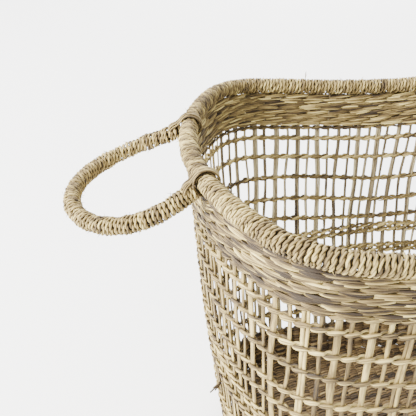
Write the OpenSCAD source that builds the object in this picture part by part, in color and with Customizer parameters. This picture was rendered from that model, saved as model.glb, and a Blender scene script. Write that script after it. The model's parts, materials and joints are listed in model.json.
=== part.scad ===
// Seagrass storage basket: a tapered basket with rounded corners, woven in open
// rows over upright stakes, with a wrapped rim and two hinged loop handles.
// Millimetres. Origin at the centre of the underside, +X along the length,
// -Y to the front, +Z up. "Depth" is measured down from the rim's centre line.

/* [Basket] */
// overall length over the rim, without the handles
body_l = 421; // [391:5:451]
// overall width over the rim
body_w = 321; // [296:5:346]
// height from the floor to the top of the rim
body_h = 300.5; // [285.5:5:330.5]
// corner radius in plan at the rim
corner_r = 60; // [54:1:66]
// inward lean of the two end walls, per millimetre of depth
end_lean = 0.103; // [0.08:0.005:0.12]
// inward lean of the two long walls, per millimetre of depth
side_lean = 0.147; // [0.12:0.005:0.16]
// loss of corner radius, per millimetre of depth
corner_lean = 0.048; // [0.03:0.005:0.06]

/* [Rim] */
// diameter of the wrapped rim
rim_d = 14; // [13:0.5:15]
// diameter of the cane hoop inside the rim
rim_core_d = 6; // [4:0.5:8]

/* [Stakes] */
// stakes in each end wall, between the corners
end_stakes = 24; // [20:2:26]
// stakes in each long wall, between the corners
side_stakes = 24; // [20:2:26]
// stakes in each corner
corner_stakes = 6; // [5:1:6]
// width of every other stake, the wide ones
stake_wide = 5; // [4:0.2:5.4]
// width of the narrow stakes between them
stake_narrow = 3.4; // [2.6:0.2:3.8]
// thickness of a stake
stake_t = 1.6; // [1.2:0.1:1.8]

/* [Weave] */
// thickness of one weft strand, inside or outside the stakes
weft_t = 1.5; // [1.2:0.1:1.8]
// height of a single woven row
weft_h = 3; // [2.6:0.1:3.2]
// thickness of the woven base
mat_t = 3; // [2.4:0.2:4]
// width of the stakes that run on across the base
base_strip_w = 5; // [4:0.5:6]

/* [Handles] */
// diameter of a wrapped handle
handle_d = 13; // [12:0.5:13.5]
// diameter of the cane inside a handle
handle_core_d = 6; // [5:0.5:7]
// radius of the handle's rounded loop
loop_r = 55; // [52:1:60]
// distance from the hinge line to the centre of the loop
loop_reach = 37.5; // [32:0.5:42]
// width of the strap that holds each handle leg to the rim
strap_w = 7; // [6:0.5:7.5]
// thickness of the strap
strap_t = 2.2; // [1.8:0.1:2.3]
// how far the handles hang below the horizontal, in degrees
handle_droop = 22; // [10:1:26]

/* [Hidden] */
end_half_angle = 30;     // half the angle of an end wall's arc in plan
side_edge_angle = 84.5;  // where a long wall's arc starts, from +X
rim_r = rim_d / 2;
rim_z = body_h - rim_r;
weft_gap = stake_t / 2 + 0.35;                  // wall's centre surface to a weft
strap_in = rim_r + 1.3;                         // strap's bore around the rim
strap_out = strap_in + strap_t;
leg_splay = 13.5;                                 // how far the handle legs lean apart
top_band_pitch = 4.4;
top_band_depths = [for (i = [0:5]) 13.2 + top_band_pitch * i];
lattice_depths = [50, 69, 90, 113, 132];
lower_band_pitch = 4.6;
lower_band_pairs = [for (d = [150, 170]) [d, d + lower_band_pitch]];
lower_lattice_depths = [198, 219, 240];
base_band_pitch = 4.4;
base_band_depths = [for (i = [7:-1:0]) rim_z - base_band_pitch * (i + 0.5)];
butt_gap = 0.01;
stake_end_depth = rim_z - 0.3;

seagrass = [0.74, 0.66, 0.50];
seagrass_dark = [0.60, 0.50, 0.35];
seagrass_pale = [0.80, 0.73, 0.58];
cane = [0.66, 0.52, 0.34];

// ---- plan of the walls: two end arcs, two side arcs and four corner arcs ----

function half_l(d) = body_l / 2 - rim_r - end_lean * d;
function half_w(d) = body_w / 2 - rim_r - side_lean * d;
function corner(d) = corner_r - corner_lean * d;

// radii of the end and side arcs that meet the corner arcs without a kink
function wall_radii(d) =
    let (a = half_l(d), b = half_w(d), r = corner(d),
         p = 1 - cos(end_half_angle), q = cos(side_edge_angle),
         s = sin(end_half_angle), t = 1 - sin(side_edge_angle),
         m = a - r * cos(end_half_angle) + r * q,
         n = b + r * s - r * sin(side_edge_angle),
         det = p * t - q * s)
    [(m * t - q * n) / det, (p * n - s * m) / det];
function end_r(d) = wall_radii(d)[0];
function side_r(d) = wall_radii(d)[1];
function corner_x(d) = half_l(d) - end_r(d) + (end_r(d) - corner(d)) * cos(end_half_angle);
function corner_y(d) = (end_r(d) - corner(d)) * sin(end_half_angle);

// the eight arcs at a depth: [centre x, centre y, radius, start angle, end angle]
RIGHT = 0; BACK_RIGHT = 1; BACK = 2; BACK_LEFT = 3;
LEFT = 4; FRONT_LEFT = 5; FRONT = 6; FRONT_RIGHT = 7;
function arc_at(k, d) =
    let (e = end_half_angle, s = side_edge_angle,
         x = corner_x(d), y = corner_y(d), r = corner(d))
    [[half_l(d) - end_r(d), 0, end_r(d), -e, e],
     [x, y, r, e, s],
     [0, half_w(d) - side_r(d), side_r(d), s, 180 - s],
     [-x, y, r, 180 - s, 180 - e],
     [end_r(d) - half_l(d), 0, end_r(d), 180 - e, 180 + e],
     [-x, -y, r, 180 + e, 180 + s],
     [0, side_r(d) - half_w(d), side_r(d), 180 + s, 360 - s],
     [x, -y, r, 360 - s, 360 - e]][k];

// lengths that a rod, tube or strand is made in: [arc, from share, to share];
// the well-curved end walls and corners take two lengths each
LENGTHS = [for (k = [RIGHT:FRONT_RIGHT])
    let (n = k == BACK || k == FRONT ? 1 : 2)
        for (j = [0:n - 1]) [k, j / n, (j + 1) / n]];

// point of the wall's centre surface on arc k, at a share u of its angle
function arc_angle(k, u) = let (g = arc_at(k, 0)) g[3] + (g[4] - g[3]) * u;
function wall_point(k, u, d) =
    let (g = arc_at(k, d), t = arc_angle(k, u))
    [g[0] + g[2] * cos(t), g[1] + g[2] * sin(t), rim_z - d];

// inward lean of the wall at share u of arc k, per millimetre of depth
function lean_at(k, u) =
    let (p = wall_point(k, u, 0), q = wall_point(k, u, 100), t = arc_angle(k, u))
    ((p[0] - q[0]) * cos(t) + (p[1] - q[1]) * sin(t)) / 100;

// enough segments that a long shallow arc stays smooth in preview
function arc_fn(r) = r > 400 ? 720 : 180;

// lengths of rod, tube and strand butt end to end with a hair's gap between them
function butt_angle(r) = butt_gap / 2 / r * 180 / PI;

// sweeps the children, a profile drawn outwards from the wall's centre surface,
// along one length of the wall at a depth
module sweep_length(l, d) {
    g = arc_at(l[0], d);
    trim = butt_angle(g[2]);
    span = g[4] - g[3];
    translate([g[0], g[1], rim_z - d])
        rotate([0, 0, g[3] + span * l[1] + trim])
            rotate_extrude(angle = span * (l[2] - l[1]) - 2 * trim, $fn = arc_fn(g[2]))
                translate([g[2], 0])
                    children();
}

// ---- rim ----

module rim_tube(r_out, r_in) {
    for (l = LENGTHS)
        sweep_length(l, 0)
            difference() {
                circle(r = r_out, $fn = 144);
                if (r_in > 0) circle(r = r_in, $fn = 144);
            }
}

module rim_core() color(cane) rim_tube(rim_core_d / 2, 0);

module rim_wrap() color(seagrass) rim_tube(rim_r, rim_core_d / 2);

// ---- stakes ----

function stake_width(i) = i % 2 == 0 ? stake_wide : stake_narrow;

// a stake beside a handle strap stops under it, where the strap passes through
function beside_strap(k, p, w) =
    (k == LEFT || k == RIGHT)
    && abs(abs(p[1]) - strap_y) < strap_w / 2 + w / 2 + 0.6;

module stake(k, u, w) {
    is_short = beside_strap(k, wall_point(k, u, 0), w);
    top = wall_point(k, u, is_short ? strap_out + 0.7 : rim_r + 0.1);
    low = wall_point(k, u, stake_end_depth);
    t = arc_angle(k, u);
    run = top - low;
    length = norm(run);
    along = (-run[0] * sin(t) + run[1] * cos(t)) / length;
    inward = -(run[0] * cos(t) + run[1] * sin(t)) / length;
    translate(low)
        rotate([0, 0, t + 90])
            rotate([-asin(inward), atan2(along, run[2] / length), 0])
                translate([-w / 2, -stake_t / 2, 0])
                    cube([w, stake_t, length]);
}

module wall_stakes(k, count) {
    color(seagrass_pale)
        for (i = [0:count - 1])
            stake(k, (i + 0.5) / count, stake_width(i));
}

module stakes_front() wall_stakes(FRONT, side_stakes);
module stakes_back() wall_stakes(BACK, side_stakes);
module stakes_left() wall_stakes(LEFT, end_stakes);
module stakes_right() wall_stakes(RIGHT, end_stakes);
module stakes_corner_front_left() wall_stakes(FRONT_LEFT, corner_stakes);
module stakes_corner_front_right() wall_stakes(FRONT_RIGHT, corner_stakes);
module stakes_corner_back_left() wall_stakes(BACK_LEFT, corner_stakes);
module stakes_corner_back_right() wall_stakes(BACK_RIGHT, corner_stakes);

// ---- woven rows: one strand outside the stakes and one inside ----

module woven_row(d) {
    for (l = LENGTHS)
        for (near = [weft_gap, -weft_gap - weft_t])
            sweep_length(l, d)
                translate([near, -weft_h / 2])
                    square([weft_t, weft_h]);
}

// Rows that lie against each other, as one leaning skin with a ridge for each row.
// side is 1 outside the stakes and -1 inside them.
module woven_skin(depths, h, side) {
    last = len(depths) - 1;
    mid = (depths[0] + depths[last]) / 2;
    for (l = LENGTHS) {
        lean = lean_at(l[0], (l[1] + l[2]) / 2);
        ridges = [for (d = depths) for (v = [-0.5, -0.3, 0.3, 0.5])
            [side * (weft_gap + (abs(v) < 0.4 ? 1 : 0.55) * weft_t) - lean * (d + v * h - mid),
             mid - d - v * h]];
        back = [for (d = [depths[last] + h / 2, depths[0] - h / 2])
            [side * weft_gap - lean * (d - mid), mid - d]];
        sweep_length(l, mid)
            polygon(concat(ridges, back));
    }
}

module top_band() {
    color(seagrass_dark)
        for (side = [-1, 1])
            woven_skin(top_band_depths, top_band_pitch, side);
}

module lower_band() {
    color(seagrass)
        for (pair = lower_band_pairs)
            for (side = [-1, 1])
                woven_skin(pair, lower_band_pitch, side);
}

module lattice_row(i) color(seagrass) woven_row(lattice_depths[i]);
module lower_lattice_row(i) color(seagrass) woven_row(lower_lattice_depths[i]);

// inside the stakes the band starts above the mat
module base_band() {
    inner = [for (d = base_band_depths) if (rim_z - d - base_band_pitch / 2 > mat_t) d];
    color(seagrass_dark) {
        woven_skin(base_band_depths, base_band_pitch, 1);
        woven_skin(inner, base_band_pitch, -1);
    }
}

// ---- base ----

// half the inner width of the basket at a distance x from its middle
function half_width_at(x, d, inset) =
    x <= corner_x(d)
    ? half_w(d) - side_r(d) + sqrt(pow(side_r(d) - inset, 2) - x * x)
    : corner_y(d) + sqrt(pow(corner(d) - inset, 2) - pow(x - corner_x(d), 2));

module base_mat() {
    d = rim_z - mat_t / 2;
    inset = weft_gap + 0.3;
    color(seagrass_dark)
        intersection() {
            mat_blank(d, inset);
            mat_disc([half_l(d) - end_r(d), 0], end_r(d) - inset);
            mat_disc([end_r(d) - half_l(d), 0], end_r(d) - inset);
            mat_disc([0, half_w(d) - side_r(d)], side_r(d) - inset);
            mat_disc([0, side_r(d) - half_w(d)], side_r(d) - inset);
        }
}

module mat_disc(centre, r) {
    translate(centre)
        cylinder(r = r, h = mat_t, $fn = arc_fn(r));
}

// the mat before its four long edges are curved: straight cuts round the corners
module mat_blank(d, inset) {
    reach = corner(d) - inset;
    x = corner_x(d);
    y = corner_y(d);
    wide = 30;
    quarter = concat([[x + reach + wide, 0]], [[x + reach + wide, y - 6]],
        [for (t = [30:13.5:84]) [x + reach * cos(t), y + reach * sin(t)]],
        [[x - 6, y + reach + wide]], [[0, y + reach + wide]]);
    n = len(quarter);
    linear_extrude(height = mat_t)
        polygon(concat(
            quarter,
            [for (i = [n - 2:-1:0]) [-quarter[i][0], quarter[i][1]]],
            [for (i = [1:n - 1]) [-quarter[i][0], -quarter[i][1]]],
            [for (i = [n - 2:-1:1]) [quarter[i][0], -quarter[i][1]]]));
}

// the stakes of the long walls run on across the mat, as far as the corners allow
module base_stakes() {
    d = rim_z - mat_t;
    pitch = 9.4;
    columns = floor((corner_x(d) + 0.75 * corner(d)) / pitch);
    color(seagrass_pale)
        for (i = [-columns:columns]) {
            run = half_width_at(abs(i) * pitch + base_strip_w / 2, d,
                                weft_gap + weft_t + 0.5);
            translate([i * pitch - base_strip_w / 2, -run, mat_t])
                cube([base_strip_w, 2 * run, stake_t]);
        }
}

// ---- handles: drawn pointing to +X with the hinge line on the Y axis ----

leg_start = [loop_reach - loop_r * sin(leg_splay), loop_r * cos(leg_splay)];
strap_y = leg_start[1] - (leg_start[0] - strap_out) * tan(leg_splay) - 1;
hinge_x = half_l(0) - end_r(0) + sqrt(pow(end_r(0), 2) - strap_y * strap_y);

// a rod or tube bent into the loop, with two straight legs cut to the straps
module handle_rod(r_out, r_in) {
    translate([loop_reach, 0, 0])
        rotate([0, 0, -90 - leg_splay + butt_angle(loop_r)])
            rotate_extrude(angle = 180 + 2 * (leg_splay - butt_angle(loop_r)), $fn = 180)
                translate([loop_r, 0])
                    difference() {
                        circle(r = r_out, $fn = 144);
                        if (r_in > 0) circle(r = r_in, $fn = 144);
                    }
    for (s = [0, 1])
        mirror([0, s, 0])
            handle_leg(r_out, r_in);
}

module handle_leg(r_out, r_in) {
    length = leg_start[0] - 4;
    difference() {
        translate([leg_start[0], leg_start[1], 0])
            rotate([0, 0, leg_splay])
                rotate([0, -90, 0])
                    difference() {
                        cylinder(r = r_out, h = length, $fn = 144);
                        if (r_in > 0)
                            translate([0, 0, -1])
                                cylinder(r = r_in, h = length + 2, $fn = 144);
                    }
        strap_space();
    }
}

// room for the strap that each leg ends against
module strap_space() {
    rotate([90, 0, 0])
        cylinder(r = strap_out, h = 3 * loop_r, center = true, $fn = 96);
}

module strap(s) {
    translate([0, s * strap_y, 0])
        rotate([90, 0, 0])
            difference() {
                cylinder(r = strap_out, h = strap_w, center = true, $fn = 96);
                cylinder(r = strap_in, h = strap_w + 1, center = true, $fn = 96);
            }
}

module place_handle(side) {
    mirror([side < 0 ? 1 : 0, 0, 0])
        translate([hinge_x, 0, rim_z])
            rotate([0, handle_droop, 0])
                children();
}

module handle_core(side) color(cane) place_handle(side) handle_rod(handle_core_d / 2, 0);

module handle_wrap(side)
    color(seagrass) place_handle(side) handle_rod(handle_d / 2, handle_core_d / 2);

module handle_strap(side, s) {
    color(seagrass_dark)
        place_handle(side)
            strap(s);
}

rim_core();
rim_wrap();
stakes_front();
stakes_back();
stakes_left();
stakes_right();
stakes_corner_front_left();
stakes_corner_front_right();
stakes_corner_back_left();
stakes_corner_back_right();
top_band();
lattice_row(0);  // lattice_row_1
lattice_row(1);  // lattice_row_2
lattice_row(2);  // lattice_row_3
lattice_row(3);  // lattice_row_4
lattice_row(4);  // lattice_row_5
lower_band();
lower_lattice_row(0);  // lattice_row_6
lower_lattice_row(1);  // lattice_row_7
lower_lattice_row(2);  // lattice_row_8
base_band();
base_mat();
base_stakes();
handle_core(-1);  // handle_left_core
handle_wrap(-1);  // handle_left_wrap
handle_strap(-1, -1);  // handle_left_strap_front
handle_strap(-1, 1);  // handle_left_strap_back
handle_core(1);  // handle_right_core
handle_wrap(1);  // handle_right_wrap
handle_strap(1, -1);  // handle_right_strap_front
handle_strap(1, 1);  // handle_right_strap_back
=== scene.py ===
"""A seagrass storage basket: open twined rows over upright stakes, a wrapped rim and two loop handles.

Lengths are in millimetres until a mesh is made. "Depth" is measured down from the rim's centre line,
and "s" counts stake spacings round the wall, from the right-hand end wall's front edge.
"""
import json
import math

import bpy
import numpy as np
from mathutils import Matrix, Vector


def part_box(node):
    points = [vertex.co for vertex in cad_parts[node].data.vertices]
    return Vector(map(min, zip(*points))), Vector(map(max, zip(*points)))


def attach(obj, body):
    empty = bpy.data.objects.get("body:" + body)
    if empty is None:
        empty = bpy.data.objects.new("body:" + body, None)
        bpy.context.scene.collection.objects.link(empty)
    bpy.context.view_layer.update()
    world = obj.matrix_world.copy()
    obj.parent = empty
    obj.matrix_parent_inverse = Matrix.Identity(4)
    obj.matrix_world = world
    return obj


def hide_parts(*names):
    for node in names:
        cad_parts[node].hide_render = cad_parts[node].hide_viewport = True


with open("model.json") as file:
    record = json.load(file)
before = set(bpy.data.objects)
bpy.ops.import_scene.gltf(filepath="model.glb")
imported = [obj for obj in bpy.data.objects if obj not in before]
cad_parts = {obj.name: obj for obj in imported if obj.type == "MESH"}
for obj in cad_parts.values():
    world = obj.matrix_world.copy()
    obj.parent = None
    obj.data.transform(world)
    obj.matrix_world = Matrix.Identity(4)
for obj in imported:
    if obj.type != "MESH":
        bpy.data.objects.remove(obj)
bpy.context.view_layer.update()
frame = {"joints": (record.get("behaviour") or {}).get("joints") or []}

MM = 0.001
rim_low, rim_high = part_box("rim_wrap")
RIM_R = (rim_high.z - rim_low.z) / MM / 2
RIM_Z = rim_high.z / MM - RIM_R
HALF_L = rim_high.x / MM - RIM_R
HALF_W = rim_high.y / MM - RIM_R

# The walls' shape, as in the CAD part
CORNER_R = 60.0
END_LEAN = 0.103
SIDE_LEAN = 0.147
CORNER_LEAN = 0.048
END_HALF_ANGLE = math.radians(30)
SIDE_EDGE_ANGLE = math.radians(84.5)
WALL_COUNTS = (24, 6, 24, 6, 24, 6, 24, 6)
WALL_EDGES = np.concatenate([[0], np.cumsum(WALL_COUNTS)])
WALL_NAMES = ("right", "corner_back_right", "back", "corner_back_left",
              "left", "corner_front_left", "front", "corner_front_right")
STAKES = int(WALL_EDGES[-1])
STAKE_SPACING = 10.3
STAKE_END = RIM_Z - 1.2

# How a soft, hand-made basket departs from the straight CAD part
RIM_SAG = 12.0
SAG_FADES_FROM = 150.0
SAG_FADES_TO = 285.0
WALL_BULGE = 3.9
BACK_LEAN = 8.5
BACK_LEAN_AT = 41.0
END_ROW_DIP = 0.07

# Woven rows; each starts and ends on the right-hand end wall
ROW_START = 6.0
TOP_ROWS = [9.4 + 3.65 * i for i in range(8)]
TOP_EDGE_ROW = 38.8
LATTICE_ROWS = (50, 69, 90, 113, 132, 198, 219, 240)
LOWER_ROWS = ((149, 8.5), (155, 6.0), (170, 5.5), (176, 3.0))
BROKEN_END_ROW = 198
BROKEN_END_AT = 75.0
RIM_TUFT_AT = 49.75
BASE_ROWS = [RIM_Z - 3.3 - 3.1 * i for i in range(11)]

# The cane inside the rim and the handles
CORE_R = 3.0

# Painted shade: how much darker a strand is painted along its two edges than on its faces, standing in for
# the shade in the crevices between strands
PAINTED_EDGE_SHADE = 0.5

# Handles, in a plane that hangs from the hinge line
HANDLE_DROOP = math.radians(31)
HANDLE_RISE = 17.5
HANDLE_TWIST = 5.0
HANDLE_R = 6.5
LOOP_R = 55.0
LOOP_REACH = 37.5
LEG_SPLAY = math.radians(13.5)
STRAP_RING = RIM_R + 1.25
STRAP_Y = 49.1
# Each strand of a strap: its place across the strap, how far it slants, and how far it stands off
STRAP_STRANDS = ((-2.8, 1.8, 0.0), (-1.0, 2.2, 0.1), (0.8, 1.8, 0.0), (2.6, 2.0, 0.1), (-0.4, -2.6, 0.6))
# Strands that run on from a leg over the rim: their place across the leg, and how far they slew on the rim
STRAP_TAILS = ((-3.6, 2.2), (-1.9, 3.4), (-0.2, 2.4), (1.6, 3.0), (3.4, -5.2), (2.0, -6.4))
TAIL_RISE = 0.6

# The floor's rows and the stakes that they cross
FLOOR_PITCH = 9.4
FLOOR_MIDDLE = 2.35
FLOOR_ROW_SPACING = 3.25
FLOOR_HALF_WIDTH = 105.5

# Each light's name, place and size in metres, power in watts and colour
LIGHTS = (("window_left", (-2.95, -0.65, 1.7), 1.9, 730, (1.0, 0.99, 0.97)),
          ("softbox_front", (0.4, -1.7, 2.6), 2.4, 40, (1.0, 0.995, 0.985)),
          ("softbox_back", (0.9, 3.3, 2.4), 2.4, 420, (1.0, 0.995, 0.99)))


# ---------------------------------------------------------------- the walls

def wall_arcs(d):
    """Centre x, centre y and radius of the eight wall arcs at depth d, stacked on a first axis."""
    a = HALF_L - END_LEAN * d
    b = HALF_W - SIDE_LEAN * d
    r = CORNER_R - CORNER_LEAN * d
    p = 1 - math.cos(END_HALF_ANGLE)
    q = math.cos(SIDE_EDGE_ANGLE)
    s = math.sin(END_HALF_ANGLE)
    t = 1 - math.sin(SIDE_EDGE_ANGLE)
    m = a - r * math.cos(END_HALF_ANGLE) + r * q
    n = b + r * s - r * math.sin(SIDE_EDGE_ANGLE)
    det = p * t - q * s
    end_r = (m * t - q * n) / det
    side_r = (p * n - s * m) / det
    x = a - end_r + (end_r - r) * math.cos(END_HALF_ANGLE)
    y = (end_r - r) * s
    zero = np.zeros_like(a)
    centre_x = np.stack([a - end_r, x, zero, -x, end_r - a, -x, zero, x])
    centre_y = np.stack([zero, y, b - side_r, y, zero, -y, side_r - b, -y])
    radius = np.stack([end_r, r, side_r, r, end_r, r, side_r, r])
    return centre_x, centre_y, radius, a


def wall_angle(s):
    """Which arc each s falls on, and the direction that the wall faces there."""
    e, t = END_HALF_ANGLE, SIDE_EDGE_ANGLE
    start = np.array([-e, e, t, math.pi - t, math.pi - e, math.pi + e, math.pi + t, 2 * math.pi - t])
    end = np.append(start[1:], 2 * math.pi - e)
    s = np.mod(s, STAKES)
    k = np.clip(np.searchsorted(WALL_EDGES, s, side="right") - 1, 0, 7)
    share = (s - WALL_EDGES[k]) / np.take(WALL_COUNTS, k)
    return k, start[k] + (end[k] - start[k]) * share


def wall(s, depth, out=0.0, shift=0.0):
    """Points on the wall, moved out from it and sideways along it, and the direction that it faces."""
    s, depth, out, shift = np.broadcast_arrays(s, depth, out, shift)
    k, angle = wall_angle(s)
    centre_x, centre_y, radius, half_l = wall_arcs(depth)
    pick = k[None]
    centre_x = np.take_along_axis(centre_x, pick, 0)[0]
    centre_y = np.take_along_axis(centre_y, pick, 0)[0]
    radius = np.take_along_axis(radius, pick, 0)[0]
    bulge = WALL_BULGE * np.sin(math.pi * np.clip(depth / 280, 0, 1))
    reach = radius + bulge + out
    x = centre_x + reach * np.cos(angle) - shift * np.sin(angle)
    y = centre_y + reach * np.sin(angle) + shift * np.cos(angle)
    fade = np.clip((SAG_FADES_TO - depth) / (SAG_FADES_TO - SAG_FADES_FROM), 0, 1)
    along = np.clip(x / half_l, -1, 1)
    z = RIM_Z - depth - fade * RIM_SAG * (1 + np.cos(math.pi * along)) / 2
    faces = np.stack([np.cos(angle), np.sin(angle), np.zeros_like(angle)], -1)
    return np.stack([x, y, z], -1), faces


def end_share(s):
    """1 at the middle of an end wall, fading to 0 at its edges."""
    from_middle = np.abs(np.mod(s - 12 + 30, 60) - 30)
    return np.clip(1 - from_middle / 11, 0, 1)


# ---------------------------------------------------------------- strands

def unit(v):
    return v / np.maximum(np.linalg.norm(v, axis=-1, keepdims=True), 1e-9)


def wander(rng, count, x, period):
    """A smooth random value per row, wandering with x; x is in the same length as period."""
    x = np.broadcast_to(x, (count, np.shape(x)[-1]))
    step = (x - x.min()) / period
    whole = np.floor(step).astype(int)
    part = step - whole
    part = part * part * (3 - 2 * part)
    knots = rng.standard_normal((count, whole.max() + 2))
    before = np.take_along_axis(knots, whole, 1)
    after = np.take_along_axis(knots, whole + 1, 1)
    return before * (1 - part) + after * part


class Strands:
    """Strands gathered into one mesh, with the attributes that the seagrass finish reads."""

    def __init__(self, seed):
        self.rng = np.random.default_rng(seed)
        self.blocks = []
        self.count = 0

    def add(self, points, outward, wide, thick, tone, sides=6, edge=PAINTED_EDGE_SHADE):
        """Adds n strands of m points: points and outward are (n, m, 3), the others spread to (n, m)."""
        n, m = points.shape[:2]
        wide = np.broadcast_to(wide, (n, m))
        thick = np.broadcast_to(thick, (n, m))
        tone = np.broadcast_to(tone, (n, m))
        tangent = unit(np.gradient(points, axis=1))
        side = unit(np.cross(outward, tangent))
        out = np.cross(tangent, side)
        turn = 2 * math.pi * (np.arange(sides) + 0.5) / sides
        across = np.cos(turn) * wide[..., None] / 2
        through = np.sin(turn) * thick[..., None] / 2
        flat = points[:, :, None] + across[..., None] * side[:, :, None]
        ring = flat + through[..., None] * out[:, :, None]
        along = np.zeros((n, m))
        along[:, 1:] = np.cumsum(np.linalg.norm(np.diff(points, axis=1), axis=-1), axis=1)
        place = self.rng.uniform(0, 900, (n, 3))
        fibre = np.stack([np.broadcast_to(along[..., None] + place[:, :1, None], across.shape),
                          across + place[:, 1:2, None],
                          through + place[:, 2:, None]], -1)
        index = self.count + np.arange(n * m * sides).reshape(n, m, sides)
        near, far = index[:, :-1], index[:, 1:]
        quads = np.stack([near, np.roll(near, -1, 2), np.roll(far, -1, 2), far], -1).reshape(-1, 4)
        caps = np.concatenate([index[:, 0, ::-1], index[:, -1]])
        self.count += n * m * sides
        # Painted shade: each strand is darkened towards its two edges by edge, standing in for the shade in
        # the crevices between strands
        tones = tone[..., None] - edge * np.cos(turn) ** 2 + 0 * across
        self.blocks.append((ring.reshape(-1, 3), fibre.reshape(-1, 3), tones.reshape(-1), quads, caps))

    def mesh(self, name):
        corners = np.concatenate([np.concatenate([b[3].ravel(), b[4].ravel()]) for b in self.blocks])
        sizes = np.concatenate([np.concatenate([np.full(len(b[3]), 4), np.full(len(b[4]), b[4].shape[1])])
                                for b in self.blocks])
        mesh = bpy.data.meshes.new(name)
        mesh.vertices.add(self.count)
        mesh.vertices.foreach_set("co", (np.concatenate([b[0] for b in self.blocks]) * MM).ravel())
        mesh.loops.add(len(corners))
        mesh.loops.foreach_set("vertex_index", corners.astype(np.int32))
        mesh.polygons.add(len(sizes))
        mesh.polygons.foreach_set("loop_start", (np.cumsum(sizes) - sizes).astype(np.int32))
        mesh.polygons.foreach_set("use_smooth", np.ones(len(sizes), bool))
        fibre = mesh.attributes.new("fibre", "FLOAT_VECTOR", "POINT")
        fibre.data.foreach_set("vector", (np.concatenate([b[1] for b in self.blocks]) * MM).ravel())
        tone = mesh.attributes.new("tone", "FLOAT", "POINT")
        tone.data.foreach_set("value", np.concatenate([b[2] for b in self.blocks]))
        mesh.update(calc_edges=True)
        return mesh

    def piece(self, name, body, slot, material, *nodes):
        """Makes the strands a shown piece that rides on a body and stands for CAD nodes."""
        mesh = self.mesh(name)
        mesh.materials.append(material)
        obj = bpy.data.objects.new(name, mesh)
        bpy.context.scene.collection.objects.link(obj)
        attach(obj, body)
        if nodes:
            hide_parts(*nodes)
        return obj


# ---------------------------------------------------------------- finishes

def seagrass(name, colours, streak=0.34, blotch=0.30, roughness=0.72, bump=0.5):
    """Dried seagrass: each strand's tone, fibre streaks along it and slow changes of colour.
    The tone is the strand's own colour together with the painted shade that the strands carry.
    """
    material = bpy.data.materials.new(name)
    material.use_nodes = True
    nodes, links = material.node_tree.nodes, material.node_tree.links
    shader = nodes["Principled BSDF"]
    shader.inputs["Specular IOR Level"].default_value = 0.32

    def noise(scale, detail):
        mapping = nodes.new("ShaderNodeMapping")
        mapping.inputs["Scale"].default_value = scale
        texture = nodes.new("ShaderNodeTexNoise")
        texture.inputs["Scale"].default_value = 1.0
        texture.inputs["Detail"].default_value = detail
        texture.inputs["Roughness"].default_value = 0.6
        links.new(fibre.outputs["Vector"], mapping.inputs["Vector"])
        links.new(mapping.outputs["Vector"], texture.inputs["Vector"])
        return texture.outputs["Fac"]

    def math_node(operation, a, b):
        node = nodes.new("ShaderNodeMath")
        node.operation = operation
        for socket, value in zip(node.inputs, (a, b)):
            if isinstance(value, (int, float)):
                socket.default_value = value
            else:
                links.new(value, socket)
        return node.outputs[0]

    def swing(value, amount):
        return math_node("MULTIPLY", math_node("SUBTRACT", value, 0.5), amount * 2)

    fibre = nodes.new("ShaderNodeAttribute")
    fibre.attribute_name = "fibre"
    tone = nodes.new("ShaderNodeAttribute")
    tone.attribute_name = "tone"
    streaks = noise((110, 2300, 2300), 3)
    blotches = noise((45, 240, 240), 2)
    total = math_node("ADD", tone.outputs["Fac"], swing(streaks, streak * 1.6))
    total = math_node("ADD", total, swing(blotches, blotch * 1.6))
    ramp = nodes.new("ShaderNodeValToRGB")
    elements = ramp.color_ramp.elements
    while len(elements) < len(colours):
        elements.new(0.5)
    for i, colour in enumerate(colours):
        elements[i].position = i / (len(colours) - 1)
        elements[i].color = (*colour, 1)
    links.new(total, ramp.inputs["Fac"])
    links.new(ramp.outputs["Color"], shader.inputs["Base Color"])
    rough = math_node("ADD", swing(streaks, 0.12), roughness)
    links.new(rough, shader.inputs["Roughness"])
    height = nodes.new("ShaderNodeBump")
    height.inputs["Strength"].default_value = bump
    height.inputs["Distance"].default_value = 0.0005
    links.new(streaks, height.inputs["Height"])
    links.new(height.outputs["Normal"], shader.inputs["Normal"])
    return material


def plain(name, colour, roughness):
    material = bpy.data.materials.new(name)
    material.use_nodes = True
    shader = material.node_tree.nodes["Principled BSDF"]
    shader.inputs["Base Color"].default_value = (*colour, 1)
    shader.inputs["Roughness"].default_value = roughness
    return material


STRAW = ((0.019, 0.011, 0.004), (0.066, 0.042, 0.013), (0.162, 0.113, 0.038),
         (0.322, 0.239, 0.082), (0.53, 0.425, 0.160))
BROWN = ((0.014, 0.008, 0.003), (0.046, 0.027, 0.010), (0.118, 0.074, 0.028),
         (0.225, 0.152, 0.061), (0.35, 0.252, 0.108))
# A greyer, bluer copy of the straw colours: painted shade for the stakes of the back walls, which lie in
# shadow
PAINTED_SHADE_GREY = tuple((red * 0.91, green, blue * 1.55) for red, green, blue in STRAW)

cord_finish = seagrass("seagrass_cord", STRAW, streak=0.36, blotch=0.22)
stake_finish = seagrass("seagrass_stake", STRAW, streak=0.30, blotch=0.34)
painted_shade_stake_finish = seagrass("seagrass_stake_grey", PAINTED_SHADE_GREY, streak=0.30, blotch=0.30)
weave_finish = seagrass("seagrass_weave", STRAW, streak=0.36, blotch=0.30)
mat_finish = seagrass("seagrass_mat", BROWN, streak=0.34, blotch=0.26)
strap_finish = seagrass("seagrass_strap", STRAW, streak=0.30, blotch=0.20)
cane_finish = seagrass("cane", STRAW, streak=0.16, blotch=0.16, roughness=0.6)


# ---------------------------------------------------------------- woven rows

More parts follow.
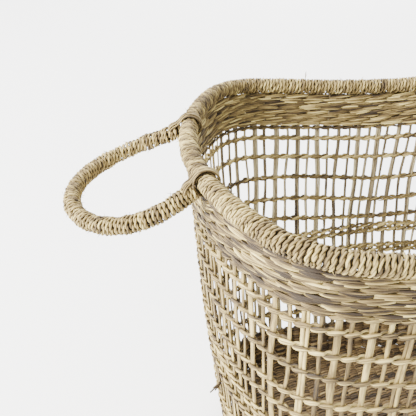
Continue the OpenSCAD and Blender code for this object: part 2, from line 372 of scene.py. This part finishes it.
def twined_row(strands, depth, stride=1, phase=0.0, plies=2, high=3.5, thick=1.2, lift=1.2,
               reach=1.5, arch=0.6, tone=0.6, spread=0.17, per_stake=8, waver=0.5, ragged=0.06,
               waist=0.6, painted_outer_shade=0.0, sides=6):
    """Two wefts that swap places between stakes: each passes stride stakes outside, then as many inside.
    Each weft is several plies lying one above another; depth gives the row's depth at s. A float climbs
    by lift to each side of its middle and is arched by arch; ragged plies start and end apart. Waist is
    the share of its height left where the wefts cross. The outer-shade amount darkens its outside:
    painted shade, for the shadow that falls on the band's outer face beneath the rim."""
    rng = strands.rng
    s = np.linspace(0, STAKES, STAKES * per_stake + 1) + ROW_START
    length = s * STAKE_SPACING
    base = depth(s) + wander(rng, 1, length, 90)[0] * waver
    for weft in (0, 1):
        turn = math.pi * ((s - 0.5) / stride + weft) + phase + ragged * wander(rng, plies, length, 31)
        outside = np.cos(turn)
        rise = lift * np.sin(turn) + arch * np.abs(outside)
        out = reach * np.sign(outside) * np.abs(outside) ** 0.5
        own = wander(rng, plies, length, 26)
        ply = (np.arange(plies) - (plies - 1) / 2)[:, None]
        ply_high = high / plies * 1.3
        gather = waist + (1 - waist) * np.abs(outside) ** 0.8
        up = rise + ply * (high / plies) * 0.9 * gather + own * 0.16
        step = wander(rng, plies, length, 17)
        points, faces = wall(s[None], base[None] - up, out + 0.12 * step)
        wide = ply_high * gather * (1 + 0.10 * step)
        shade = tone + spread * wander(rng, plies, length, 24) + 0.08 * wander(rng, 1, length, 150)
        # Painted shade: the outer parts of the floats are darkened by the outer-shade amount
        shade = shade + rng.normal(0, spread * 0.5, (plies, 1)) - painted_outer_shade * np.clip(outside, 0, 1)
        strands.add(points, faces, wide, thick, shade, sides=sides)


def dipped(row):
    """A row's depth that dips a little in the middle of the end walls."""
    return lambda s: row * (1 + END_ROW_DIP * end_share(s))


def beneath_straps(row):
    """A row of the top band, pressed down where the handle straps pass between it and the rim."""
    def depth(s):
        near = np.abs(end_y(s)) - STRAP_Y
        return row + (5.6 - 0.15 * row) * np.exp(-(near / 9) ** 2)
    return depth


def end_y(s):
    """The distance from the basket's middle on an end wall; far away on the other walls."""
    k, _ = wall_angle(s)
    points, _ = wall(s, np.zeros_like(s))
    return np.where((k == 0) | (k == 4), points[..., 1], 999.0)


def swelling(row, amount):
    """A slack row, low at the corners and high between them."""
    return lambda s: row - amount * np.cos(2 * math.pi * (s - 12) / 30)


def make_top_band():
    upper = Strands(11)
    lower = Strands(12)
    for i, row in enumerate(TOP_ROWS):
        strands = upper if i < 4 else lower
        phase = math.pi / 2 * i + 0.3 * strands.rng.standard_normal()
        # The top band's outside is darkened as painted shade, for the shadow beneath the rim
        twined_row(strands, beneath_straps(row), stride=2, phase=phase, plies=3, high=4.6, thick=1.5,
                   lift=(0.9, 0.2)[i % 2], reach=1.9, arch=0.4, tone=0.62, spread=0.27, per_stake=6,
                   waver=0.4, ragged=0.12, waist=0.7, painted_outer_shade=0.24, sides=5)
    twined_row(lower, lambda s: TOP_EDGE_ROW + 0 * s, high=2.8, lift=0.8, tone=0.58)
    upper.piece("top_band_upper_rows", "basket", "seagrass_weave", weave_finish, "top_band")
    lower.piece("top_band_lower_rows", "basket", "seagrass_weave", weave_finish, "top_band")


def make_lattice_rows():
    for i, row in enumerate(LATTICE_ROWS):
        strands = Strands(20 + i)
        twined_row(strands, dipped(row), high=3.6, lift=0.95, tone=0.68, waver=1.3)
        if row == BROKEN_END_ROW:
            start, faces = wall(BROKEN_END_AT, row - 6.0, 0.5)
            add_loose_end(strands, start, faces + np.array([0.0, -0.3, -0.45]), 11.0, 3, 2.2, 0.36)
        node = f"lattice_row_{i + 1}"
        strands.piece(f"woven_row_{i + 1}", "basket", "seagrass_weave", weave_finish, node)


def make_lower_band():
    strands = Strands(31)
    for row, amount in LOWER_ROWS:
        twined_row(strands, swelling(row, amount), high=3.6, thick=1.3, tone=0.68, waver=1.0)
    strands.piece("lower_band_rows", "basket", "seagrass_weave", weave_finish, "lower_band")


def make_base_band():
    strands = Strands(41)
    for i, row in enumerate(BASE_ROWS):
        twined_row(strands, lambda s, row=row: row + 0 * s, phase=math.pi * (i % 2), plies=1, high=3.9,
                   thick=1.4, lift=0.5, arch=0.0, tone=0.56, per_stake=6, waver=0.15)
    strands.piece("base_band_rows", "basket", "seagrass_mat", mat_finish, "base_band")


# ---------------------------------------------------------------- stakes

def make_stakes():
    for k, name in enumerate(WALL_NAMES):
        strands = Strands(50 + k)
        rng = strands.rng
        at_back = "back" in name
        for i in range(WALL_COUNTS[k]):
            add_stake(strands, rng, WALL_EDGES[k] + i + 0.5, i % 2 == 0, 0.93 if at_back else 1.0)
        # The back walls' stakes take the greyer copy of the finish: painted shade
        finish = painted_shade_stake_finish if at_back else stake_finish
        strands.piece(f"upright_stakes_{name}", "basket", "seagrass_stake", finish, f"stakes_{name}")


def add_stake(strands, rng, s, is_wide, breadth):
    """One upright stake: flat strands side by side, which part and close as they go down."""
    beside_strap = abs(abs(float(end_y(np.array(s)))) - STRAP_Y) < 9
    depth = np.linspace(11.4 if beside_strap else 4.6, STAKE_END, 54)
    count = 1 + int(rng.random() < (0.55 if is_wide else 0.15))
    total = (4.9 if is_wide else 3.2) * rng.uniform(0.9, 1.08) * breadth
    each = total / count
    free = np.sin(math.pi * np.clip(depth / STAKE_END, 0, 1)) ** 0.5
    sway = (1.2 * wander(rng, 1, depth, 44)[0] + 1.3 * math.sin(0.37 * s) + 0.8 * math.sin(1.1 * s)) * free
    pushed = BACK_LEAN * math.exp(-((s - BACK_LEAN_AT) / 4.5) ** 2)
    sway = sway + pushed * np.sin(math.pi * np.clip((depth - 35) / 240, 0, 1)) ** 1.5
    part = 1 + 0.10 * wander(rng, 1, depth, 40)[0]
    place = (np.arange(count) - (count - 1) / 2)[:, None]
    shift = sway + place * each * part + 0.14 * wander(rng, count, depth, 22)
    recess = 0.0 if is_wide else -0.3
    out = recess + 0.10 * wander(rng, count, depth, 30)
    points, faces = wall(s, depth[None], out, shift)
    wide = each * (1.0 if count == 1 else 1.28) * (1 + 0.09 * wander(rng, count, depth, 18))
    tone = 0.70 if is_wide else 0.56
    shade = tone + rng.normal(0, 0.08) + rng.normal(0, 0.09, (count, 1))
    shade = shade + 0.08 * wander(rng, count, depth, 40)
    # A lighter painted shade along the stakes' edges
    strands.add(points, faces, wide, 1.15, shade, edge=0.24)


# ---------------------------------------------------------------- wrapped rods

def wind(strands, centre, radius, pitch, twist, ply_wide=1.9, ply_thick=1.5, orbit=0.72, tone=0.6,
         per_turn=24, loose=1.0):
    """A two-ply cord wound round a rod whose centre line is given by closely spaced points."""
    rng = strands.rng
    step = np.linalg.norm(np.diff(centre, axis=0), axis=1)
    run = np.concatenate([[0], np.cumsum(step)])
    length = run[-1]
    turns = length / pitch
    t = np.linspace(0, length, int(turns * per_turn) + 1)
    t = t + 0.22 * pitch * wander(rng, 1, t, 9)[0] * np.minimum(1, np.minimum(t, length - t) / 6)
    turn = 2 * math.pi * (t / pitch)
    slew = np.sin(turn) * (0.5 + 0.6 * wander(rng, 1, t, 7)[0]) + 0.5 * wander(rng, 1, t, 2.2)[0]
    t = np.clip(t + 0.22 * loose * slew, 0, length)
    middle = np.stack([np.interp(t, run, centre[:, i]) for i in range(3)], -1)
    heading = np.gradient(centre, axis=0)
    tangent = unit(np.stack([np.interp(t, run, heading[:, i]) for i in range(3)], -1))
    lift = unit(np.array([0, 0, 1.0]) - tangent * tangent[:, 2:])
    side = np.cross(tangent, lift)
    radial = np.cos(turn)[:, None] * side + np.sin(turn)[:, None] * lift
    swell = 0.17 * loose * wander(rng, 1, t, 4)[0]
    cord_r = radius - ply_thick / 2 - orbit + swell
    around = np.concatenate([[0], np.cumsum(np.abs(np.diff(turn)) * radius)])
    plies = []
    for ply in (0, 1):
        angle = 2 * math.pi * around / twist + math.pi * ply + 0.5 * wander(rng, 1, around, 60)[0]
        offset = np.cos(angle)[:, None] * radial * orbit * 0.75 + np.sin(angle)[:, None] * tangent * orbit
        plies.append((middle + cord_r[:, None] * radial + offset, radial))
    points = np.stack([p[0] for p in plies])
    outward = np.stack([p[1] for p in plies])
    wide = ply_wide * (1 + 0.13 * wander(rng, 2, around, 18))
    shade = tone + 0.17 * wander(rng, 2, around, 24) + 0.07 * wander(rng, 1, around, 400)
    strands.add(points, outward, wide, ply_thick, shade)


def make_rim():
    pieces = (("right", 0, 27), ("back", 27, 57), ("left", 57, 87), ("front", 87, 117), ("corner", 117, 120))
    for i, (name, first, last) in enumerate(pieces):
        strands = Strands(70 + i)
        s = np.linspace(first, last, (last - first) * 6 + 1)
        centre, _ = wall(s, np.zeros_like(s))
        wind(strands, centre, RIM_R + 0.3, 3.1, 12.0, tone=0.72)
        clear_of_straps = np.abs(np.abs(centre[:, 1]) - STRAP_Y) > 10
        add_hairs(strands, centre[clear_of_straps], RIM_R + 0.3, (last - first) * 3)
        if name == "back":
            start, _ = wall(RIM_TUFT_AT, 0.5 - RIM_R)
            add_loose_end(strands, start, np.array([0.1, 0.0, 1.0]), 7.5, 5, 0.8, 0.5)
        strands.piece(f"rim_wrapping_{name}", "basket", "seagrass_cord", cord_finish, "rim_wrap")


def add_loose_end(strands, start, heading, length, count, wide, tone):
    """A few short strands that stick out of the weave together."""
    rng = strands.rng
    share = np.linspace(0, 1, 7)[None, :, None]
    heading = unit(heading + 0.22 * rng.standard_normal((count, 3)))
    reach = length * rng.uniform(0.6, 1.0, (count, 1))
    bend = rng.standard_normal((count, 3)) * 0.15
    points = start + (heading * reach)[:, None] * share + (bend * reach)[:, None] * share ** 2
    outward = np.broadcast_to(unit(np.cross(heading, [0.3, 1.0, 0.2]))[:, None], points.shape)
    strands.add(points, outward, wide * (1 - 0.5 * share[..., 0]), wide * 0.6,
                tone + 0.1 * rng.standard_normal((count, 1)), sides=5)


def add_hairs(strands, centre, radius, count):
    """Short loose fibres that stand out of a wrapped rod."""
    rng = strands.rng
    pick = rng.integers(2, len(centre) - 2, count)
    tangent = unit(centre[pick + 1] - centre[pick - 1])
    lift = unit(np.array([0, 0, 1.0]) - tangent * tangent[:, 2:])
    side = np.cross(tangent, lift)
    turn = rng.uniform(0, 2 * math.pi, count)[:, None]
    radial = np.cos(turn) * side + np.sin(turn) * lift
    around = np.cross(tangent, radial)
    length = rng.uniform(1.5, 4.5, count)[:, None]
    heading = unit(radial * rng.uniform(0.25, 0.9, (count, 1)) + tangent * rng.uniform(-1, 1, (count, 1))
                   + around * rng.uniform(-1, 1, (count, 1)))
    share = np.linspace(0, 1, 7)[None, :, None]
    bend = unit(rng.standard_normal((count, 3)))
    start = centre[pick] + radial * (radius - 0.8)
    points = start[:, None] + (heading * length)[:, None] * share
    points = points + (bend * length * 0.3)[:, None] * share ** 2
    wide = 0.5 - 0.35 * share[..., 0]
    strands.add(points, np.broadcast_to(radial[:, None], points.shape), wide, wide * 0.7,
                0.62 + 0.15 * rng.standard_normal((count, 1)), sides=4)


def make_rim_core():
    strands = Strands(76)
    s = np.linspace(0, STAKES, 481)
    centre, faces = wall(s[None], np.zeros((1, 481)))
    strands.add(centre, faces, CORE_R * 2, CORE_R * 2, 0.45, sides=12)
    strands.piece("rim_hoop", "basket", "cane", cane_finish, "rim_core")


# ---------------------------------------------------------------- handles

def handle_plane(joint, side):
    """The hinge point and the handle plane's outward, sideways and upward directions."""
    origin = np.array(joint["pos_m"]) / MM
    outward = np.array([side * math.cos(HANDLE_DROOP), 0, -math.sin(HANDLE_DROOP)])
    upward = np.array([side * math.sin(HANDLE_DROOP), 0, math.cos(HANDLE_DROOP)])
    return origin, outward, np.array([0, 1.0, 0]), upward


def handle_lift(u, v):
    """How far a handle's centre line stands above its plane."""
    return HANDLE_RISE * (u / 90) ** 2 + HANDLE_TWIST * v / 60 * u / 90


def handle_path(joint, side):
    """The centre line of a handle, from one leg's root round the loop to the other."""
    sweep = math.pi / 2 + LEG_SPLAY
    angle = np.linspace(-sweep, sweep, 90)
    u = LOOP_REACH + LOOP_R * np.cos(angle)
    v = LOOP_R * np.sin(angle)
    leg = np.linspace(RIM_R + 2.4, u[0], 9)[:-1]
    leg_v = v[0] + (u[0] - leg) * math.tan(LEG_SPLAY)
    u = np.concatenate([leg, u, leg[::-1]])
    v = np.concatenate([leg_v, v, -leg_v[::-1]])
    w = handle_lift(u, v)
    origin, outward, sideways, upward = handle_plane(joint, side)
    return origin + u[:, None] * outward + v[:, None] * sideways + w[:, None] * upward


def add_strap_rings(strands, joint, side, end):
    """Flat strands lashed slantwise round the rim where a handle's leg meets it, one of them crossing."""
    rng = strands.rng
    origin, outward, sideways, upward = handle_plane(joint, side)
    angle = np.linspace(0, 2 * math.pi, 49)
    radial = np.cos(angle)[:, None] * outward + np.sin(angle)[:, None] * upward
    for spot, slant, raised in STRAP_STRANDS:
        wobble = wander(rng, 1, angle, 1.1)[0] * np.sin(angle / 2)
        place = end * (STRAP_Y + spot + slant * np.cos(angle) + 0.35 * wobble)
        ring = STRAP_RING + raised + 0.2 * wander(rng, 1, angle, 1.4)[0] * np.sin(angle / 2)
        points = origin + ring[:, None] * radial + place[:, None] * sideways
        shade = 0.66 + rng.normal(0, 0.09) + 0.06 * wander(rng, 1, angle, 1)[0]
        strands.add(points[None], radial[None], 2.1, 1.2, shade)


def add_strap_tails(strands, joint, side, end):
    """Strands that run on from a handle's leg and over the rim."""
    rng = strands.rng
    origin, outward, sideways, upward = handle_plane(joint, side)
    angle = np.radians(np.linspace(62, 200, 22))
    ring = STRAP_RING + TAIL_RISE
    on_leg = np.linspace(15, 8, 10)
    sinks = 2.2 * (np.linspace(1, 0, 10) ** 4)
    leg_w = handle_lift(on_leg, end * 52) + HANDLE_R + 0.2 - sinks
    u = np.concatenate([on_leg, ring * np.cos(angle)])
    w = np.concatenate([leg_w, ring * np.sin(angle)])
    step = np.arange(float(len(u)))
    faces = np.stack([np.clip(u, -9, 2), np.clip(w, -9, 9)], -1)
    outer = unit(faces[:, :1] * outward + faces[:, 1:] * upward)
    on_rim = np.clip((14 - u) / 20, 0, 1)
    for i, (spot, slew) in enumerate(STRAP_TAILS):
        spread = 0.22 * np.clip(u - 7, 0, None)
        dip = 0.09 * spot ** 2 * (1 - on_rim)
        place = end * (STRAP_Y + spread + spot * (1 - 0.25 * on_rim) + slew * (on_rim - 0.35) * 0.8)
        high = w - dip + 0.35 * (i % 2) + 0.15 * wander(rng, 1, step, 5)[0]
        points = origin + u[:, None] * outward + high[:, None] * upward + place[:, None] * sideways
        shade = 0.68 + rng.normal(0, 0.13) + 0.08 * wander(rng, 1, step, 6)[0]
        # A stronger painted shade along the edges of the strap's strands
        strands.add(points[None], outer[None], 1.9, 1.3, shade, edge=0.62)


def handle_joints():
    """Each handle's hinge, body name and side: 1 on the right, -1 on the left."""
    for joint in frame["joints"]:
        side = 1 if joint["pos_m"][0] > 0 else -1
        yield joint, joint["name"].replace("_swing", ""), side


def make_handles():
    for joint, name, side in handle_joints():
        strands = Strands(80 + side)
        path = handle_path(joint, side)
        wind(strands, path, HANDLE_R, 2.8, 10.0, ply_wide=1.8, ply_thick=1.5, orbit=0.66, tone=0.72,
             per_turn=26, loose=1.8)
        add_hairs(strands, path, HANDLE_R, 120)
        strands.piece(f"{name}_wrapping", name, "seagrass_cord", cord_finish, f"{name}_wrap")
        for end, word in ((-1, "front"), (1, "back")):
            strands = Strands(90 + 2 * side + end)
            add_strap_rings(strands, joint, side, end)
            add_strap_tails(strands, joint, side, end)
            strands.piece(f"{name}_lashing_{word}", name, "seagrass_strap", strap_finish,
                          f"{name}_strap_{word}")


def make_handle_cores():
    for joint, name, side in handle_joints():
        path = handle_path(joint, side)[None]
        strands = Strands(78 + side)
        strands.add(path, np.broadcast_to([0, 0, 1.0], path.shape), CORE_R * 2, CORE_R * 2, 0.45, sides=12)
        strands.piece(f"{name}_cane", name, "cane", cane_finish, f"{name}_core")


# ---------------------------------------------------------------- base

def base_half_length(y, inset):
    """Half the basket's inner length at its floor, at a distance y from its middle."""
    centre_x, centre_y, radius, _ = wall_arcs(np.array(RIM_Z))
    edge = centre_y[1] + (radius[1] - inset) * math.sin(END_HALF_ANGLE)
    end = centre_x[0] + np.sqrt((radius[0] - inset) ** 2 - y ** 2)
    corner = centre_x[1] + np.sqrt(np.maximum((radius[1] - inset) ** 2 - (y - centre_y[1]) ** 2, 0))
    return end if y < edge else corner


def base_half_width(x, inset):
    """Half the basket's inner width at its floor, at a distance x from its middle."""
    centre_x, centre_y, radius, _ = wall_arcs(np.array(RIM_Z))
    side = centre_y[2] + math.sqrt((radius[2] - inset) ** 2 - x ** 2)
    corner = centre_y[1] + math.sqrt(max((radius[1] - inset) ** 2 - (x - centre_x[1]) ** 2, 0))
    return side if x < centre_x[1] else corner


def make_base_rows():
    """Rows twined along the floor, over and under the stakes that cross it."""
    strands = Strands(101)
    rng = strands.rng
    upward = np.array([0, 0, 1.0])
    for y in np.arange(-FLOOR_HALF_WIDTH, FLOOR_HALF_WIDTH + 0.5, FLOOR_ROW_SPACING):
        reach = float(base_half_length(abs(y), 3.0))
        x = np.linspace(-reach, reach, int(reach * 2 / FLOOR_PITCH * 6))
        for weft in (0, 1):
            turn = math.pi * (x / FLOOR_PITCH + weft + 0.5)
            z = FLOOR_MIDDLE + 1.4 * np.cos(turn) * np.abs(np.cos(turn)) ** -0.4
            points = np.stack([x, y + 0.7 * np.sin(turn) + 0.3 * wander(rng, 1, x, 40)[0], z], -1)
            shade = 0.56 + 0.13 * wander(rng, 1, x, 30) + rng.normal(0, 0.08)
            strands.add(points[None], np.broadcast_to(upward, points[None].shape), 3.5, 1.2, shade, sides=5)
    strands.piece("base_rows", "basket", "seagrass_mat", mat_finish, "base_mat")


def make_base_stakes():
    """Pairs of flat strands that run on across the floor from one long wall to the other."""
    strands = Strands(102)
    rng = strands.rng
    upward = np.array([0, 0, 1.0])
    for i in range(-15, 16):
        reach = base_half_width(abs(i * FLOOR_PITCH) + 2.5, 3.2)
        y = np.linspace(-reach, reach, 50)
        for half in (-1, 1):
            x = i * FLOOR_PITCH + half * 1.25 + 0.2 * wander(rng, 1, y, 40)[0]
            points = np.stack([x, y, np.full_like(y, FLOOR_MIDDLE)], -1)
            shade = 0.6 + rng.normal(0, 0.08) + 0.06 * wander(rng, 1, y, 40)
            strands.add(points[None], np.broadcast_to(upward, points[None].shape), 2.6, 1.3, shade)
    strands.piece("base_crossing_stakes", "basket", "seagrass_stake", stake_finish, "base_stakes")


# ---------------------------------------------------------------- stage

def make_stage():
    mesh = bpy.data.meshes.new("floor")
    size = 8.0
    corners = [(-size, -size, 0), (size, -size, 0), (size, size, 0), (-size, size, 0)]
    mesh.from_pydata(corners, [], [(0, 1, 2, 3)])
    mesh.materials.append(plain("pale_floor", (0.94, 0.94, 0.935), 0.9))
    floor = bpy.data.objects.new("floor", mesh)
    bpy.context.scene.collection.objects.link(floor)
    world = bpy.data.worlds.new("studio")
    world.use_nodes = True
    world.node_tree.nodes["Background"].inputs["Color"].default_value = (0.98, 0.99, 1.0, 1)
    world.node_tree.nodes["Background"].inputs["Strength"].default_value = 1.38
    bpy.context.scene.world = world
    for light in LIGHTS:
        add_light(*light)


def add_light(name, place, size, power, colour):
    data = bpy.data.lights.new(name, "AREA")
    data.size = size
    data.energy = power
    data.color = colour
    light = bpy.data.objects.new(name, data)
    light.location = place
    aim = np.array([0, 0, 0.15]) - np.array(place)
    flat = math.hypot(aim[0], aim[1])
    light.rotation_euler = (math.atan2(flat, -aim[2]), 0, math.atan2(-aim[0], aim[1]))
    bpy.context.scene.collection.objects.link(light)


def make_camera():
    data = bpy.data.cameras.new("camera")
    data.sensor_width = 36
    data.lens = 55.385
    camera = bpy.data.objects.new("camera", data)
    camera.location = (-0.2411, -0.4054, RIM_Z * MM - 0.006 + 0.1831)
    pitch, yaw, roll = math.radians(28.61), math.radians(-7.01), math.radians(-0.59)
    turn = Matrix.Rotation
    matrix = turn(yaw, 4, "Z") @ turn(math.pi / 2 - pitch, 4, "X") @ turn(roll, 4, "Z")
    camera.rotation_euler = matrix.to_euler()
    bpy.context.scene.collection.objects.link(camera)
    bpy.context.scene.camera = camera


make_rim()
make_rim_core()
make_stakes()
make_top_band()
make_lattice_rows()
make_lower_band()
make_base_band()
make_base_rows()
make_base_stakes()
make_handles()
make_handle_cores()
make_stage()
make_camera()
